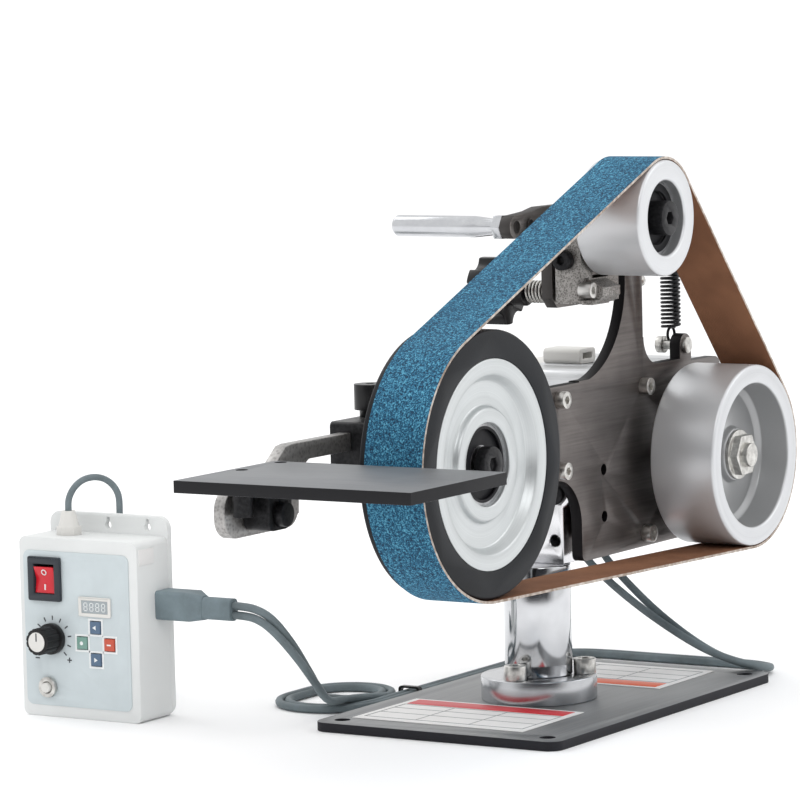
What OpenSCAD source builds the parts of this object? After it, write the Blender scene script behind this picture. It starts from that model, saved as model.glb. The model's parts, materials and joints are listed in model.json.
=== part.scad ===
// Small belt grinder for a 762 x 25 mm belt, with its tilting head and its speed control box.
// X runs from the contact wheel to the drive wheel, -Y is the side the wheels face, +Z is up.
// The origin is the middle of the base plate's underside.

/* [Base and column] */
// Length of the base plate along X
base_l = 184; // [170:1:200]
// Width of the base plate along Y
base_w = 114; // [108:1:124]
// Thickness of the base plate
base_t = 4; // [3:0.5:5]
// Diameter of the chromed column
column_d = 28; // [24:1:28]
// Diameter of the flange under the column
flange_d = 48; // [46:1:54]

/* [Wheels and belt] */
// Radius of the contact wheel over its rubber
contact_r = 51.6; // [50:0.1:52]
// Radius of the drive wheel
drive_r = 38.2; // [36:0.1:38.5]
// Radius of the tracking wheel
tracking_r = 23.6; // [22:0.1:24]
// Width of the belt
belt_w = 25.4; // [24:0.1:26]
// Thickness of the belt with its grain
belt_t = 1; // [0.8:0.1:1.2]

/* [Plates] */
// Thickness of the laser-cut main plate
plate_t = 5; // [4:0.5:5]
// Length of the work rest plate along Y
rest_l = 102; // [90:1:104]
// Depth of the work rest plate along X
rest_d = 66; // [60:1:68]
// Thickness of the work rest plate
rest_t = 4.6; // [4:0.1:5]

/* [Motor] */
// Side of the square motor body
motor_s = 75; // [70:1:76]
// Length of the ribbed motor body
motor_l = 55; // [50:1:56]
// Length of the moulded end cap
motor_cap_l = 25; // [20:1:26]

/* [Control box] */
// Height of the control box
box_h = 75; // [74:0.5:76]
// Wall of the control box
box_wall = 2; // [1.6:0.1:2]
// Diameter of the two motor cables
cable_d = 3.4; // [3:0.1:3.5]
// Diameter of the mains cable
mains_d = 2.8; // [2.6:0.1:2.8]

/* [Hidden] */
$fn = 48;

gap = 0.3;
run = 0.05;
wheel_front = -56;
wheel_back = -26;
belt_front = wheel_front + 0.8;
contact_c = [-130, 117];
drive_c = [81, 98];
tracking_c = [7.2, 202.5];

plate_back = -14.5;
plate_front = plate_back - plate_t;
column_c = [-4, 2];
column_top = 60;
tilt_c = [-8, 89];
tongue_x0 = -3;
tongue_x1 = 11;

lever_front = -11;
lever_back = -6;
pivot_c = [43.5, 190];
yoke_back = lever_front - 1.6;
yoke_c = [-17.5, 186];
knob_c = [1, 172];
handle_c = [-37, 201];
spring_c = [90, -11.5];
ear_c = [88, 143];

rest_top = 122;
rest_x1 = -185;
rest_y1 = 9;
arm_front = 9.6;
arm_back = 14.6;
rest_pivot_c = [-199, 104];

box_x0 = -108;
box_x1 = -86;
box_y0 = 130;
box_y1 = 190;
panel_x = box_x0 - 0.5;
rocker_c = [176.2, 57.8];
knob_yz = [173.4, 33];
button_yz = [176.2, 12.5];
key_s = 5;
key_up_yz = [151.3, 38.8];
key_down_yz = [151.3, 25.4];
key_left_yz = [158.2, 32];
key_right_yz = [144.3, 32];

// Routes of the cables, by hand
route_a = [
    [-90, 95, 44.9], [-89.5, 84.8, 43.8], [-86.5, 77.7, 38.3], [-79.7, 71.5, 27.1], [-69.7, 69, 14.8],
    [-60.6, 69, 6.9], [-47.8, 69, 5.4], [-31.4, 69, 3.7], [-16.5, 69.1, 1.8], [-6.3, 73, 1.8],
    [-0.2, 81.3, 1.8], [0.6, 91.6, 1.8], [-4, 100.9, 1.8], [-12.9, 106.3, 1.8], [-26.4, 107, 1.8],
    [-40.6, 106, 1.8], [-51, 99.4, 1.8], [-56.4, 88.3, 1.8], [-55.2, 76, 1.8], [-47.7, 66.1, 1.8],
    [-35.6, 61.6, 1.8], [-18.9, 61.5, 1.8], [-0.2, 61.5, 1.8], [18.7, 61.5, 1.8], [37.5, 61.5, 1.8],
    [56.4, 61.5, 1.8], [75.2, 61.5, 1.8], [92.4, 61.5, 1.8], [104.9, 59.4, 1.8], [113, 52.1, 1.8],
    [116, 40.3, 1.8], [116, 23.5, 1.8], [116, 4.8, 1.8], [116, -13.6, 1.8], [116, -28.8, 1.8],
    [113.1, -38.2, 2], [106.4, -43.7, 3.1], [97.7, -44.8, 4.9], [89.5, -41.1, 7.8], [84.5, -33.1, 11.7],
    [83.9, -20.2, 18.5], [83.5, -5.3, 28.6], [83.2, 8.4, 40.1], [83, 18.4, 50.2], [83, 20.7, 55.4],
    [83, 21, 58.4], [83, 21, 60.3]
];
route_b = [
    [-90, 95, 48.7], [-89.1, 85.3, 47.7], [-85.4, 79, 43], [-78.4, 74.2, 32.1], [-68.1, 73, 18.8],
    [-58.9, 73, 8.5], [-48, 73, 5.4], [-32.8, 73, 2.9], [-18.3, 73, 1.8], [-9.2, 75.8, 1.8],
    [-4.1, 82.3, 1.8], [-3.2, 90.5, 1.8], [-6.8, 98, 1.8], [-14, 102.5, 1.8], [-26, 103, 1.8],
    [-38.7, 102.4, 1.8], [-47.7, 97.1, 1.8], [-52.5, 87.8, 1.8], [-51.7, 77.5, 1.8], [-45.5, 69.1, 1.8],
    [-34.9, 65.2, 1.8], [-18.7, 65.2, 1.8], [0, 65.2, 1.8], [19.2, 65.2, 1.8], [38.3, 65.2, 1.8],
    [57.4, 65.2, 1.8], [76.4, 65.2, 1.8], [94.2, 65.2, 1.8], [108, 62, 1.8], [117.2, 52.5, 1.8],
    [120, 38.2, 1.8], [120, 20.2, 1.8], [120, 1.2, 1.8], [120, -17.4, 1.8], [119.6, -32.8, 1.8],
    [114.6, -42.7, 2.2], [105.2, -48.3, 3.5], [94, -48.1, 5.9], [84.6, -41.8, 9.2], [80.1, -30.6, 14],
    [79.6, -15.3, 21.4], [78.4, 0.7, 31.2], [77.4, 14.9, 41.6], [77, 24.6, 50.3], [77, 26.7, 55.4],
    [77, 27, 58.4], [77, 27, 60.3]
];
mains_route = [
    [-97, 172, 85], [-96.7, 171.8, 89.9], [-94.8, 170.5, 94.2], [-91.7, 168.3, 97.2],
    [-87.8, 165.6, 98.2], [-83.9, 162.9, 97.2], [-80.7, 160.7, 94.2], [-78.9, 159.4, 89.9],
    [-78.6, 159.2, 84], [-78.6, 159.6, 75], [-78.6, 161, 64], [-78.6, 163.4, 53], [-78.5, 166.6, 43],
    [-78.4, 170.8, 33.5], [-78.2, 176.2, 25], [-77.8, 181.6, 18.6], [-76.8, 187, 14.2],
    [-75, 191.6, 11.5], [-72.5, 195.4, 10.2], [-68.9, 198.9, 9.8]
];
coil_c = [-55, 185];
coil_in = 2 * mains_d + 4.2;
coil_out = coil_in + 4 * mains_d;
coil_h = 4 * mains_d;

// Rounded rectangle from one corner to the other, flat on the sheet
module pad(a, b, r) {
    translate([a[0] + r, a[1]]) square([b[0] - a[0] - 2 * r, b[1] - a[1]]);
    translate([a[0], a[1] + r]) square([b[0] - a[0], b[1] - a[1] - 2 * r]);
    for (x = [a[0] + r, b[0] - r])
        for (y = [a[1] + r, b[1] - r])
            translate([x, y]) circle(r);
}

// Sheet drawn in X and Z, thick from y0 to y1
module xz(y0, y1) {
    translate([0, y1, 0]) rotate([90, 0, 0]) linear_extrude(y1 - y0) children();
}

// Sheet drawn in Y and Z, thick from x0 to x1
module yz(x0, x1) {
    translate([x0, 0, 0]) rotate([90, 0, 90]) linear_extrude(x1 - x0) children();
}

// Round bar along X, Y or Z
module bar_x(x0, x1, c, r) {
    translate([x0, c[0], c[1]]) rotate([0, 90, 0]) cylinder(h = x1 - x0, r = r);
}

module bar_y(y0, y1, c, r) {
    translate([c[0], y1, c[1]]) rotate([90, 0, 0]) cylinder(h = y1 - y0, r = r);
}

module bar_z(z0, z1, c, r) {
    translate([c[0], c[1], z0]) cylinder(h = z1 - z0, r = r);
}

// Turned profile of [radius, y] points around a wheel's axis
module turned(c, profile) {
    translate([c[0], 0, c[1]]) rotate([-90, 0, 0]) rotate_extrude($fn = 96) polygon(profile);
}

// Socket screw along Y with its head in front, head height h1 and stem to y1
module screw_y(c, y0, y1, head_r, head_h, stem_r) {
    difference() {
        union() {
            bar_y(y0, y0 + head_h, c, head_r);
            bar_y(y0 + head_h, y1, c, stem_r);
        }
        bar_y(y0 - 1, y0 + head_h * 0.55, c, head_r * 0.5, $fn = 6);
    }
}

function unit(v) = v / norm(v);
function heading(p, i) = unit(p[min(i + 1, len(p) - 1)] - p[max(i - 1, 0)]);
function side_vectors(p, s, i = 0) = i >= len(p) ? [] :
    let(t = heading(p, i), n = unit(s - t * (s * t)))
    concat([n], side_vectors(p, n, i + 1));

// Tube of diameter d along a route, with s as its first side vector
module tube(p, d, s) {
    sides = 8;
    n = side_vectors(p, s);
    rings = [for (i = [0 : len(p) - 1]) let(t = heading(p, i), b = cross(t, n[i]))
        for (j = [0 : sides - 1])
            p[i] + d / 2 * (cos(360 * j / sides) * n[i] + sin(360 * j / sides) * b)];
    last = (len(p) - 1) * sides;
    polyhedron(rings, concat(
        [[for (j = [0 : sides - 1]) j]],
        [[for (j = [sides - 1 : -1 : 0]) last + j]],
        [for (i = [0 : len(p) - 2]) for (j = [0 : sides - 1])
            [i * sides + j, (i + 1) * sides + j,
             (i + 1) * sides + (j + 1) % sides, i * sides + (j + 1) % sides]]));
}

module base_plate() {
    color("#8d9092") difference() {
        translate([0, 0, 0]) linear_extrude(base_t)
            pad([-base_l / 2, -base_w / 2], [base_l / 2, base_w / 2], 6);
        for (x = [-1, 1])
            for (y = [-1, 1])
                bar_z(-1, base_t + 1, [x * (base_l / 2 - 9), y * (base_w / 2 - 9)], 3.2);
    }
}

module column() {
    color("#d9dde2") bar_z(base_t + 10, column_top, column_c, column_d / 2);
}

module column_flange() {
    color("#c9cdd2") difference() {
        bar_z(base_t, base_t + 10, column_c, flange_d / 2, $fn = 96);
        for (a = [60 : 120 : 300])
            bar_z(base_t + 5, base_t + 11, column_c + 19 * [cos(a), sin(a)], 2.6);
    }
}

module flange_screws() {
    color("#b9bcc0") for (a = [60 : 120 : 300])
        translate(concat(column_c + 19 * [cos(a), sin(a)], 0)) {
            translate([0, 0, base_t + 5]) cylinder(h = 5, r = 2.6);
            translate([0, 0, base_t + 10]) difference() {
                cylinder(h = 6.2, r = 4.6);
                translate([0, 0, 3]) cylinder(h = 4, r = 2.6, $fn = 6);
            }
        }
}

// Flat tongue on the column, with the tilt pivot and the lock hole under it
module column_head() {
    color("#e4e6ea") difference() {
        yz(tongue_x0, tongue_x1) {
            translate([column_c[1] - 12.5, column_top]) square([25, 28]);
            translate([tilt_c[0], column_top]) square([19.5, 35]);
            translate(tilt_c) circle(6);
        }
        bar_x(tongue_x0 - 1, tongue_x1 + 1, [-6.4, 69.5], 2.5);
        bar_x(tongue_x0 - 1, tongue_x1 + 1, tilt_c, 3);
    }
}

module tilt_bolt() {
    color("#2b2c2e") {
        bar_x(tongue_x0, 24, tilt_c, 3);
        difference() {
            bar_x(tongue_x0 - 3.6, tongue_x0, tilt_c, 4.2);
            bar_x(tongue_x0 - 4, tongue_x0 - 1.6, tilt_c, 2, $fn = 6);
        }
        bar_x(20.3, 24, tilt_c, 5.5, $fn = 6);
    }
}

// Block behind the main plate that turns on the tilt bolt
module head_bracket() {
    color("#a9acb0") difference() {
        yz(tongue_x1 + gap, 20) pad([plate_back, 67], [6, 104], 3);
        bar_x(tongue_x1, 21, tilt_c, 3 + run);
        for (z = [78.1, 97.6])
            bar_y(plate_back - 1, plate_back + 9, [15.7, z], 2.1);
    }
}

module main_plate_outline() {
    // around the motor
    pad([43, 61.5], [119, 136], 5);
    // body between the motor and the contact arm
    difference() {
        translate([-3.2, 61.5]) square([60, 74.5]);
        translate([-3.2, 61.5]) difference() {
            square(3);
            translate([3, 3]) circle(3);
        }
    }
    translate([-34, 97]) square([34, 38.5]);
    // hollow corner under the arm
    difference() {
        translate([-23.2, 77]) square([20.2, 20.2]);
        translate([-23.2, 77]) circle(20, $fn = 96);
    }
    // neck with its two hollow sides
    translate([36.5, 130]) square([14.5, 60]);
    difference() {
        translate([-3.5, 135]) square([40.1, 40]);
        translate([-3.5, 175.2]) circle(40, $fn = 96);
    }
    difference() {
        translate([50.9, 130]) square([12.6, 19.5]);
        translate([63.5, 149.5]) circle(12, $fn = 96);
    }
    translate([60, 130]) square([25, 7.5]);
    translate(pivot_c) circle(9.5);
    // ear for the spring
    translate([ear_c[0] - 5, 130]) square([10, 13]);
    translate(ear_c) circle(5);
}

module main_plate() {
    color("#6b625c") difference() {
        xz(plate_front, plate_back) main_plate_outline();
        for (z = [78.1, 97.6])
            bar_y(plate_front - 1, plate_back + 1, [15.7, z], 2.3);
        bar_y(plate_front - 1, plate_back + 1, ear_c, 2.1);
        for (z = [101, 130])
            bar_y(plate_front - 1, plate_back + 1, [-20, z], 2.1);
        for (x = [-31, 31])
            for (z = [-31, 31])
                bar_y(plate_front - 1, plate_back + 1, drive_c + [x, z], 2.1);
        bar_y(plate_front - 1, plate_back + 1, drive_c, 11);
        bar_y(plate_front - 1, plate_back + 1, pivot_c, 4);
    }
}

// Arm and motor screws, the stop screw in the neck's edge, and the spring's anchor in the ear
module head_screws() {
    motor_end = plate_back + motor_l + motor_cap_l;
    color("#a7a29b") {
        for (z = [101, 130])
            screw_y([-20, z], plate_front - 4, plate_back + 8, 3.5, 4, 2.1);
        for (x = [-31, 31])
            for (z = [-31, 31])
                screw_y(drive_c + [x, z], plate_front - 4, plate_back + 8, 3.6, 4, 2.1);
        bar_x(51, 54.4, [plate_back - 2.5, 173], 2.4);
        for (x = [-27, 27])
            for (z = [-27, 27])
                bar_y(motor_end, motor_end + 2, drive_c + [x, z], 2.6);
        bar_y(plate_front - 1.4, plate_front, ear_c, 3.4);
        bar_y(plate_front, plate_back + 5, ear_c, 2.1);
        bar_y(plate_back + 5, plate_back + 8, ear_c, 3.6);
    }
}

// Extruded body with a row of ribs on the top, the bottom and the sides
module motor_body() {
    h = motor_s / 2;
    color("#c3c6c9") difference() {
        xz(plate_back, plate_back + motor_l) difference() {
            translate(drive_c) pad([-h, -h], [h, h], 4);
            for (u = [-20 : 5 : 20])
                for (v = [-1, 1]) {
                    translate(drive_c + [u - 1.3, v * h - 1.2]) square([2.6, 2.4]);
                    translate(drive_c + [v * h - 1.2, u - 1.3]) square([2.4, 2.6]);
                }
        }
        bar_y(plate_back - 1, plate_back + 9, drive_c, 11);
        for (x = [-31, 31])
            for (z = [-31, 31])
                bar_y(plate_back - 1, plate_back + 8, drive_c + [x, z], 2.1);
    }
}

module motor_cap() {
    h = motor_s / 2 - 0.8;
    color("#e9e9e6") difference() {
        union() {
            xz(plate_back + motor_l, plate_back + motor_l + motor_cap_l - 5)
                translate(drive_c) pad([-h, -h], [h, h], 6);
            xz(plate_back + motor_l + motor_cap_l - 5, plate_back + motor_l + motor_cap_l)
                translate(drive_c) pad([-h + 3, -h + 3], [h - 3, h - 3], 8);
        }
        for (x = [-12 : 6 : 12])
            translate([drive_c[0] + x - 1.5, plate_back + motor_l + motor_cap_l - 2, drive_c[1] - 14])
                cube([3, 4, 28]);
    }
}

// Light terminal clip on top of the motor
module motor_terminal() {
    z0 = drive_c[1] + motor_s / 2;
    color("#e0dcd2") difference() {
        xz(20, 38) pad([66, z0], [80, z0 + 6.5], 2);
        translate([69, 19, z0 + 2]) cube([8, 20, 2.6]);
    }
}

// Flat bar that carries the contact wheel, bolted behind the main plate
module contact_arm() {
    color("#8a8d90") difference() {
        xz(plate_back, plate_back + 10) {
            translate([contact_c[0], 103]) square([-10 - contact_c[0], 28]);
            translate([-34, 97]) square([24, 36]);
            translate(contact_c) circle(14);
        }
        for (z = [101, 130])
            bar_y(plate_back - 1, plate_back + 8, [-20, z], 2.1);
        bar_y(plate_back - 1, plate_back + 11, [-24, 115.5], 3.1);
        bar_y(plate_back - 1, plate_back + 11, contact_c, 5);
    }
}

// Bolt of the contact wheel with its spacer and its black end cap
module contact_axle() {
    color("#2d2e30") {
        bar_y(-52, plate_back + 10, contact_c, 5);
        bar_y(-26.4, plate_back, contact_c, 7.5);
        difference() {
            bar_y(-54.5, -49.5, contact_c, 7);
            bar_y(-56, -52.5, contact_c, 3, $fn = 6);
        }
    }
}

module contact_hub() {
    color("#d3d6d8") turned(contact_c, [
        [16, -45], [16, -52], [21.6, -52], [22.6, -49.5], [32, -49.5], [34.5, -53.7],
        [40.6, -54.1], [40.6, -26.3], [34.5, -26.3], [32, -31], [22, -31], [21, -27], [16, -27],
        [16, -45]]);
}

module contact_tyre() {
    color("#26282c") turned(contact_c, [
        [40.6, -54.1], [contact_r - 0.8, -54.1], [contact_r, -53.3], [contact_r, -27.1],
        [contact_r - 0.8, -26.3], [40.6, -26.3]]);
}

// Two ball bearings and the snap ring that keeps them in the hub
module contact_bearings() {
    color("#9da0a3") {
        for (y = [-48.5, -36])
            turned(contact_c, [[5 + run, y], [16, y], [16, y + 9], [5 + run, y + 9]]);
        turned(contact_c, [[13.5, -50], [16, -50], [16, -49], [13.5, -49]]);
    }
}

module drive_wheel() {
    color("#d6d8da") turned(drive_c, [
        [5, -47], [11, -47], [12, -44], [27.5, -41], [30.2, -43], [30.2, wheel_front + 0.8],
        [31, wheel_front], [drive_r - 0.8, wheel_front], [drive_r, wheel_front + 0.8],
        [drive_r, wheel_back - 0.8], [drive_r - 0.8, wheel_back], [5, wheel_back]]);
}

module motor_shaft() {
    color("#b7babd") {
        bar_y(-54.5, plate_back + 8, drive_c, 5);
    }
}

// Hexagon nut and washer in the dish of the drive wheel
module drive_nut() {
    color("#cfd0cc") difference() {
        union() {
            bar_y(-52, -48.5, drive_c, 9.4, $fn = 6);
            bar_y(-48.5, -47, drive_c, 10.5);
        }
        bar_y(-53, -46, drive_c, 5);
    }
}

module tracking_roller() {
    color("#d3d5d6") turned(tracking_c, [
        [11, -50], [15.2, -50], [15.2, wheel_front + 0.8], [16, wheel_front],
        [tracking_r - 0.8, wheel_front], [tracking_r, wheel_front + 0.8],
        [tracking_r, wheel_back - 0.8], [tracking_r - 0.8, wheel_back], [11, wheel_back]]);
}

module tracking_bearings() {
    color("#8c8f92") {
        for (y = [-49.5, -34])
            turned(tracking_c, [[4 + run, y], [11, y], [11, y + 7], [4 + run, y + 7]]);
        turned(tracking_c, [[11, -51.2], [15.2, -51.2], [15.2, -50], [11, -50]]);
    }
}

// Round the three wheels, clear of each by the gap
module belt_area(more) {
    hull() {
        translate(contact_c) circle(contact_r + gap + more, $fn = 120);
        translate(drive_c) circle(drive_r + gap + more, $fn = 96);
        translate(tracking_c) circle(tracking_r + gap + more, $fn = 96);
    }
}

module belt() {
    color("#2f7fae") xz(belt_front, belt_front + belt_w) difference() {
        belt_area(belt_t);
        belt_area(0);
    }
}

module tension_pivot() {
    color("#303133") {
        bar_y(plate_front - 3.5, plate_front, pivot_c, 6.5);
        bar_y(plate_front, lever_back + gap, pivot_c, 4);
        bar_y(plate_back, lever_front - gap, pivot_c, 6.5);
        bar_y(lever_back + gap, lever_back + 5, pivot_c, 6.5, $fn = 6);
    }
}

// Flat lever behind the neck: handle at its left end, spring at its right end
module tension_lever() {
    color("#55504c") difference() {
        xz(lever_front, lever_back) {
            translate(handle_c) circle(4.6);
            polygon([[-38, 196.4], [-22, 197], [-9, 190], [-9, 170], [-5, 166], [12, 166], [16, 170],
                     [16, 186], [43, 180.5], [88, 182.3], [88, 191.3], [43, 199.5], [26, 208],
                     [-16, 208], [-24, 206.6], [-38, 205.6]]);
            translate(pivot_c) circle(9.5);
            translate([88, 186.8]) circle(4.5);
        }
        bar_y(lever_front - 1, lever_back + 1, pivot_c, 4 + run);
        bar_y(lever_front - 1, lever_back + 1, knob_c, 3 + run);
        bar_y(lever_front - 1, lever_back + 1, [handle_c[0] + 1, handle_c[1]], 2.6);
        bar_y(lever_front - 1, lever_front + 2, [-26, 201.5], 2.2);
    }
}

// Ear on the front of the lever, between the two cheeks of the yoke
module pivot_block() {
    color("#5a5652") difference() {
        translate([1, -23, 179]) cube([12, 23 + lever_front, 11.4]);
        bar_x(0, 14, yoke_c, 2.5 + run);
    }
}

module tension_handle() {
    color("#dfe1e4") {
        bar_y(lever_front, lever_back, [handle_c[0] + 1, handle_c[1]], 2.6);
        translate([0, lever_back, 0]) bar_y(0, 4.4, [handle_c[0] + 1, handle_c[1]], 5.4, $fn = 6);
        translate([handle_c[0] + 1, 0, handle_c[1]]) rotate([-90, 0, 0]) rotate_extrude() polygon([
            [0, lever_back + 4.4], [3.3, lever_back + 4.4], [4.4, 8.4], [4.4, 45], [3.4, 46.4],
            [0, 46.4]]);
        bar_y(lever_front - 0.8, lever_front + 2, [-26, 201.5], 2.2);
    }
}

module tension_spring() {
    color("#1d1e20") difference() {
        bar_z(149.5, 181.5, spring_c, 4.4);
        bar_z(149, 182, spring_c, 3.2);
    }
}

// Cast yoke with its two cheeks, the axle boss and the lip under the roller
module tracking_yoke() {
    color("#8d8983") difference() {
        union() {
            translate([-9, -24.6, 168]) cube([9.5, 24.6 + yoke_back, 40]);
            translate([13.5, -24.6, 168]) cube([8.5, 24.6 + yoke_back, 40]);
            translate([0, -24.6, 194]) cube([14, 24.6 + yoke_back, 14]);
            bar_y(-24.6, yoke_back, tracking_c, 11);
            translate([0, -24.6, 167]) cube([14, 5, 11]);
            yz(-6, 12) polygon([[-24.6, 168], [-28, 168], [-31, 171], [-31, 174.5], [-24.6, 177.5]]);
        }
        bar_x(-10, 23, yoke_c, 2.5);
        bar_y(-26, yoke_back + 1, tracking_c, 4);
        translate([-10, -32, 169.5]) cube([7.5, 9, 9]);
    }
}

// Roller axle with its long black head, the yoke's pivot screw and the small clamp screw
module tracking_axle() {
    color("#2a2b2d") {
        bar_y(-51, yoke_back, tracking_c, 4);
        bar_y(wheel_back, -24.6, tracking_c, 6.5);
        difference() {
            bar_y(-57.4, -50, tracking_c, 7);
            bar_y(-58, -54, tracking_c, 2.9, $fn = 6);
        }
        bar_x(-9, 22, yoke_c, 2.5);
        difference() {
            bar_x(-13, -9, yoke_c, 4.1);
            bar_x(-13.5, -10.5, yoke_c, 2, $fn = 6);
        }
        difference() {
            bar_y(-29, -23, [-6.3, 173.6], 3.2);
            bar_y(-29.5, -26, [-6.3, 173.6], 1.6, $fn = 6);
        }
    }
}

// Star knob with its stud and spring collar
module tracking_knob() {
    color("#1e1f22") {
        bar_y(lever_front, 15.5, knob_c, 3);
        bar_y(6.5, 15.5, knob_c, 6);
        difference() {
            bar_y(15.5, 28, knob_c, 14);
            for (a = [0 : 60 : 300])
                bar_y(15, 28.5, knob_c + 16 * [cos(a), sin(a)], 5);
        }
    }
}

// Ratchet lever seen from its stud: hub along an axis, with a slanted grip
module ratchet_grip(reach, rise) {
    cylinder(h = 5, r = 4.4);
    translate([0, 0, 5]) cylinder(h = 15, r = 6.4);
    hull() {
        translate([0, 0, 13]) sphere(5, $fn = 24);
        translate([reach * 0.62, 0, 13 + rise * 0.62]) sphere(3.6, $fn = 20);
    }
    hull() {
        translate([reach * 0.62, 0, 13 + rise * 0.62]) sphere(3.6, $fn = 20);
        translate([reach, 0, 13 + rise]) sphere(4.4, $fn = 20);
    }
}

module arm_clamp_lever() {
    color("#1c1d1f") {
        bar_y(plate_back, plate_back + 10.3, [-24, 115.5], 3.1 - run);
        translate([-24, plate_back + 10.3, 115.5]) rotate([0, 180, 0]) rotate([-90, 0, 0])
            ratchet_grip(46, 16);
    }
}

// Block on the arm's back that holds the rest's bar
module rest_holder() {
    color("#232427") difference() {
        xz(plate_back + 10, 19) pad([-131, 106], [-98, 131], 2);
        translate([-132, arm_front - run, 120 - run]) cube([35, 5 + 2 * run, 7 + 2 * run]);
        bar_z(127, 132, [-112, 12.1], 2.6);
    }
}

// Laser-cut bar: straight part in the holder, then down to the rounded tab under the rest
module rest_arm() {
    color("#7d7a78") difference() {
        xz(arm_front, arm_back) {
            translate([-172, 120]) square([77, 7]);
            polygon([[-172, 127], [-176, 126.4], [-183, 121], [-190, 114], [-190, 100], [-168, 100],
                     [-167.6, 112], [-164, 118], [-160, 120]]);
            pad([-218, 95.5], [-168, 114], 8);
        }
        bar_y(arm_front - 1, arm_back + 1, rest_pivot_c, 3);
    }
}

module rest_pivot() {
    color("#2b2c2e") {
        bar_y(-2.5, arm_back, rest_pivot_c, 3);
        bar_y(-6, -2.5, rest_pivot_c, 4.6);
        bar_y(arm_back, arm_back + 4, rest_pivot_c, 5.4, $fn = 6);
    }
}

module rest_clamp_lever() {
    color("#1c1d1f") {
        bar_z(127.6, 131.3, [-112, 12.1], 2.6 - run);
        translate([-112, 12.1, 131.3]) {
            cylinder(h = 3, r = 4.4);
            difference() {
                translate([0, 0, 3]) cylinder(h = 10, r = 6.4);
                translate([0, 0, 11]) cylinder(h = 3, r = 2, $fn = 6);
            }
            hull() {
                translate([3, 0, 8]) sphere(4.4, $fn = 24);
                translate([44, 0, 8]) sphere(3.8, $fn = 20);
            }
        }
    }
}

// Work rest with its two countersunk screw holes near the arm
module rest_plate() {
    color("#82868a") difference() {
        translate([rest_x1 - rest_d, rest_y1 - rest_l, rest_top - rest_t]) cube([rest_d, rest_l, rest_t]);
        for (x = [-214, -188])
            bar_z(rest_top - rest_t - 1, rest_top + 1, [x, 4], 2.4);
    }
}

// Hinge block under the rest, its two screws with their sleeves, and the wing of the pivot
module rest_block() {
    z1 = rest_top - rest_t;
    color("#26272a") {
        difference() {
            union() {
                translate([-219, -1.5, z1 - 3]) cube([37, arm_front - gap + 1.5, 3]);
                xz(-2.2, arm_front - gap) pad([-206, 98], [-192, z1 - 2], 3);
            }
            bar_y(-3, arm_front, rest_pivot_c, 3 + run);
            for (x = [-214, -188])
                bar_z(z1 - 4, z1 + 1, [x, 4], 2.4);
        }
        for (x = [-214, -188]) {
            bar_z(z1 - 3, rest_top - 0.4, [x, 4], 2.4);
            bar_z(z1 - 13, z1 - 3, [x, 4], 3.8);
        }
    }
}

module box_outline(inset) {
    pad([box_y0 + inset, inset], [box_y1 - inset, box_h - inset], 3);
}

// Openings of the front wall and of the panel on it
module front_openings() {
    translate([rocker_c[0] - 6, rocker_c[1] - 7]) square([12, 14]);
    translate(knob_yz) circle(2);
    translate(button_yz) circle(3);
    translate([145, 45]) square([12.5, 4.6]);
    for (c = [key_up_yz, key_down_yz, key_left_yz, key_right_yz])
        translate(c - [1, 1] * (key_s / 2 + 0.3)) square(key_s + 0.6);
}

module box_shell() {
    color("#dcdddb") difference() {
        yz(box_x0, box_x1) box_outline(0);
        yz(box_x0 + box_wall, box_x1 + 1) box_outline(box_wall);
        yz(box_x0 - 1, box_x0 + box_wall + 1) front_openings();
    }
}

// Back plate with its flange and three keyholes for hanging the box
module box_back() {
    color("#d6d7d5") difference() {
        yz(box_x1, box_x1 + 3) pad([box_y0, 0], [box_y1, box_h + 8], 5);
        for (y = [140, 160, 180]) {
            bar_x(box_x1 - 1, box_x1 + 4, [y, box_h + 3.2], 1.6);
            yz(box_x1 - 1, box_x1 + 4) translate([y - 0.8, box_h + 3.2]) square([1.6, 3.4]);
        }
    }
}

module control_panel() {
    color("#bcccd4") difference() {
        yz(panel_x, box_x0) pad([134.2, 4.8], [187.6, 69.4], 3);
        yz(panel_x - 1, box_x0 + 1) front_openings();
    }
}

module rocker_bezel() {
    color("#3b4149") difference() {
        union() {
            yz(panel_x - 1.6, panel_x) pad([168, 48.6], [184.4, 67], 0.8);
            yz(panel_x, panel_x + 10) translate([170.2, 50.8]) square([12, 14]);
        }
        yz(panel_x - 2, panel_x + 8.5) translate([171, 51.6]) square([10.4, 12.4]);
    }
}

module display_frame() {
    color("#eef0f0") difference() {
        yz(panel_x - 0.8, panel_x) pad([143.2, 43.2], [159.4, 51.4], 0.6);
        yz(panel_x - 1, panel_x - 0.4) translate([144.6, 44.6]) square([13.4, 5.4]);
    }
}

module start_ring() {
    color("#c9ccce") difference() {
        union() {
            bar_x(panel_x - 1.8, panel_x, button_yz, 4.3);
            bar_x(panel_x, panel_x + 9, button_yz, 3);
        }
        bar_x(panel_x - 2, panel_x + 7, button_yz, 2.4);
    }
}

module circuit_board() {
    color("#2f6a48") {
        yz(-98, -96.6) translate([134, 8]) square([48, 58]);
        bar_x(-104, -98, knob_yz, 5);
    }
}

module mains_gland() {
    color("#dfe3e3") {
        bar_z(box_h, box_h + 3.5, [-97, 172], 5.2, $fn = 6);
        translate([-97, 172, box_h + 3.5]) cylinder(h = 6.5, r1 = 4.4, r2 = 2.8);
    }
}

// Moulded boot of the motor cables, from its block to its flat sleeve
module cable_boot() {
    color("#6f7c82") {
        xz(115, box_y0) pad([-96, 41.5], [-84.4, 53.5], 1.5);
        hull() {
            xz(114, 115) pad([-96, 41.5], [-84.4, 53.5], 1.5);
            xz(109, 110) pad([-93.2, 42], [-86.8, 52], 2.5);
        }
        xz(95, 109) pad([-93, 42.4], [-87, 51.6], 2.4);
    }
}

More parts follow.
